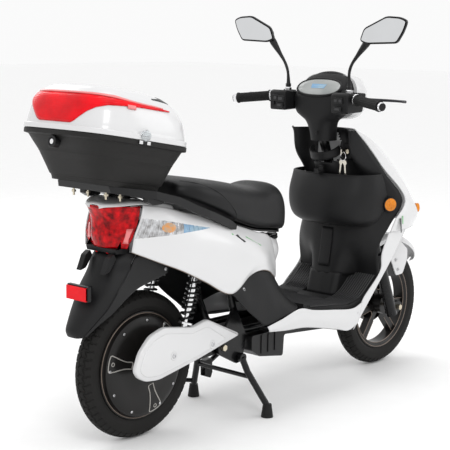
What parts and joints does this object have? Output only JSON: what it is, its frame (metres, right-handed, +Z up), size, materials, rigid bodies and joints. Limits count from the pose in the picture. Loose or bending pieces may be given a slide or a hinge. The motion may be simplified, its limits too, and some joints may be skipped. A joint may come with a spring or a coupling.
{
  "type": "electric moped scooter",
  "caption": "Step-through electric moped with two-level seat, leg shield pocket, rear hub motor, twin rear shocks, folding stands and a lockable top box.",
  "frame": {"origin": "centre of the whole bounding box in plan, at ground level", "axes": "+X forward, +Y to the rider's left, +Z up"},
  "size_m": [1.6965, 0.7118, 1.2209],
  "materials": {
    "white_plastic": "glossy moulded",
    "black_plastic": "fine textured",
    "black_gloss": "satin",
    "black_paint": "gloss paint",
    "black_alloy": "satin black coat",
    "wheel_paint": "gloss paint with bronze lines",
    "seat_vinyl": "grained vinyl",
    "tyre_rubber": "block tread",
    "soft_rubber": "moulded",
    "chrome_parts": "bright",
    "zinc_bolts": "zinc plated",
    "cast_alloy": "cast",
    "red_lens": "ribbed",
    "clear_lens": "ribbed",
    "amber_lens": "ribbed",
    "display_glass": "glossy",
    "mirror_glass": "polished",
    "spring_steel": "powder coat"
  },
  "bodies": {
    "chassis": {"main_frame": "black_paint", "chassis_fasteners": "zinc_bolts", "battery_box": "black_plastic", "floorboard": "black_plastic", "floor_trims": "white_plastic", "rear_cowl": "black_plastic", "side_fairing_left": "white_plastic", "side_fairing_right": "white_plastic", "rear_signal_lenses": "clear_lens", "tail_lamp_lens": "red_lens", "tail_cover": "white_plastic", "seat_front_panel": "white_plastic", "rear_fender": "black_plastic", "fender_reflector": "red_lens", "leg_shield": "black_plastic", "storage_pocket": "black_plastic", "front_apron": "white_plastic", "amber_lenses": "amber_lens", "rack_rail": "black_alloy", "box_base": "black_plastic", "shock_uppers": "chrome_parts", "shock_springs": "spring_steel"},
    "seat": {"seat_cushion": "seat_vinyl", "seat_pan": "black_plastic"},
    "lid": {"box_lid": "white_plastic", "lid_reflector": "red_lens"},
    "clasp_left": {"box_clasp_left": "clear_lens"},
    "clasp_right": {"box_clasp_right": "clear_lens"},
    "lock": {"box_lock": "chrome_parts"},
    "key": {"ignition_key": "zinc_bolts"},
    "hook": {"bag_hook": "black_plastic"},
    "stand": {"centre_stand": "black_paint", "stand_feet": "soft_rubber"},
    "side_prop": {"side_stand": "black_paint"},
    "rear_arm": {"swingarm": "black_paint", "swingarm_cover": "white_plastic", "rear_axle": "zinc_bolts"},
    "rear_wheel": {"hub_motor": "wheel_paint", "rear_tyre": "tyre_rubber"},
    "shock_lowers": {"shock_rods": "chrome_parts"},
    "steering": {"fork_yoke": "black_paint", "handlebar": "black_paint", "handlebar_cover_rear": "black_plastic", "handlebar_cover_front": "white_plastic", "headlamp_lens": "clear_lens", "display": "display_glass", "switch_pods": "black_plastic", "grip_left": "soft_rubber"},
    "throttle": {"throttle_grip": "soft_rubber"},
    "lever_left": {"brake_lever_left": "cast_alloy"},
    "lever_right": {"brake_lever_right": "cast_alloy"},
    "mirror_l": {"mirror_left": "black_gloss"},
    "mirror_r": {"mirror_right": "black_gloss"},
    "horn": {"horn_button": "black_plastic"},
    "turn_signal": {"turn_switch": "black_plastic"},
    "lower_fork": {"fork_lowers": "black_paint", "front_fender": "white_plastic", "front_axle": "zinc_bolts"},
    "front_wheel": {"front_wheel": "wheel_paint", "front_tyre": "tyre_rubber"}
  },
  "joints": [
    {"name": "steering_turn", "type": "hinge", "parent": "chassis", "child": "steering", "pos_m": [0.40287, 0, 0.60028], "axis": [-0.3907, 0, 0.9205], "range_deg": [-35, 35]},
    {"name": "fork_travel", "type": "slide", "parent": "steering", "child": "lower_fork", "axis": [-0.3907, 0, 0.9205], "range_m": [0, 0.035], "stiffness_N_per_m": 9000, "springref_m": -0.05},
    {"name": "front_wheel_spin", "type": "hinge", "parent": "lower_fork", "child": "front_wheel", "pos_m": [0.633, 0, 0.215], "axis": [0, 1, 0], "continuous": true},
    {"name": "swingarm_travel", "type": "hinge", "parent": "chassis", "child": "rear_arm", "pos_m": [-0.26, 0, 0.226], "axis": [0, 1, 0], "range_deg": [0, 5], "stiffness_Nm_per_rad": 2200, "springref_deg": -5.73},
    {"name": "rear_wheel_spin", "type": "hinge", "parent": "rear_arm", "child": "rear_wheel", "pos_m": [-0.545, 0, 0.215], "axis": [0, 1, 0], "continuous": true},
    {"name": "shock_travel", "type": "slide", "parent": "chassis", "child": "shock_lowers", "axis": [0.302, 0, 0.9533], "range_m": [0, 0.0174], "deforming": ["shock_springs"]},
    {"name": "centre_stand_fold", "type": "hinge", "parent": "chassis", "child": "stand", "pos_m": [-0.188, 0, 0.184], "axis": [0, 1, 0], "range_deg": [0, 88], "stiffness_Nm_per_rad": 6, "springref_deg": -34.38},
    {"name": "side_stand_fold", "type": "hinge", "parent": "chassis", "child": "side_prop", "pos_m": [0, 0.12, 0.165], "axis": [0, 1, 0], "range_deg": [-80, 0], "stiffness_Nm_per_rad": 3, "springref_deg": 28.65},
    {"name": "seat_hinge", "type": "hinge", "parent": "chassis", "child": "seat", "pos_m": [0.063, 0, 0.528], "axis": [0, 1, 0], "range_deg": [0, 60]},
    {"name": "lid_hinge", "type": "hinge", "parent": "chassis", "child": "lid", "pos_m": [-0.4552, 0, 0.84667], "axis": [0, 1, 0], "range_deg": [0, 70]},
    {"name": "clasp_left_flip", "type": "hinge", "parent": "lid", "child": "clasp_left", "pos_m": [-0.68309, 0.1942, 0.89618], "axis": [0.9854, 0, -0.1702], "range_deg": [0, 60]},
    {"name": "clasp_right_flip", "type": "hinge", "parent": "lid", "child": "clasp_right", "pos_m": [-0.68309, -0.1942, 0.89618], "axis": [-0.9854, 0, 0.1702], "range_deg": [0, 60]},
    {"name": "lock_turn", "type": "hinge", "parent": "chassis", "child": "lock", "pos_m": [-0.84499, 0, 0.87543], "axis": [0.9854, 0, -0.1702], "range_deg": [0, 90]},
    {"name": "ignition_turn", "type": "hinge", "parent": "chassis", "child": "key", "pos_m": [0.353, -0.069, 0.779], "axis": [1, 0, 0], "range_deg": [0, 90]},
    {"name": "bag_hook_fold", "type": "hinge", "parent": "chassis", "child": "hook", "pos_m": [0.3, 0, 0.7295], "axis": [0, 1, 0], "range_deg": [0, 80]},
    {"name": "throttle_twist", "type": "hinge", "parent": "steering", "child": "throttle", "pos_m": [0.248, -0.181, 0.956], "axis": [0.3147, 0.944, 0.0994], "range_deg": [0, 70], "stiffness_Nm_per_rad": 0.6, "springref_deg": -17.19},
    {"name": "brake_left_pull", "type": "hinge", "parent": "steering", "child": "lever_left", "pos_m": [0.308, 0.144, 0.95], "axis": [0, 0, 1], "range_deg": [0, 14], "stiffness_Nm_per_rad": 4, "springref_deg": -11.46},
    {"name": "brake_right_pull", "type": "hinge", "parent": "steering", "child": "lever_right", "pos_m": [0.308, -0.144, 0.95], "axis": [0, 0, -1], "range_deg": [0, 14], "stiffness_Nm_per_rad": 4, "springref_deg": -11.46},
    {"name": "mirror_left_turn", "type": "hinge", "parent": "steering", "child": "mirror_l", "pos_m": [0.275, 0.127, 0.99], "axis": [0, 0, 1], "range_deg": [-20, 20]},
    {"name": "mirror_right_turn", "type": "hinge", "parent": "steering", "child": "mirror_r", "pos_m": [0.275, -0.127, 0.99], "axis": [0, 0, 1], "range_deg": [-20, 20]},
    {"name": "horn_press", "type": "slide", "parent": "steering", "child": "horn", "axis": [1, 0, 0], "range_m": [0, 0.002], "stiffness_N_per_m": 600, "springref_m": -0.001},
    {"name": "turn_switch_slide", "type": "slide", "parent": "steering", "child": "turn_signal", "axis": [0, 1, 0], "range_m": [-0.004, 0.004]}
  ],
  "couplings": [
    {"joint": "shock_travel", "follows": "swingarm_travel", "m_per_rad": 0.188}
  ]
}
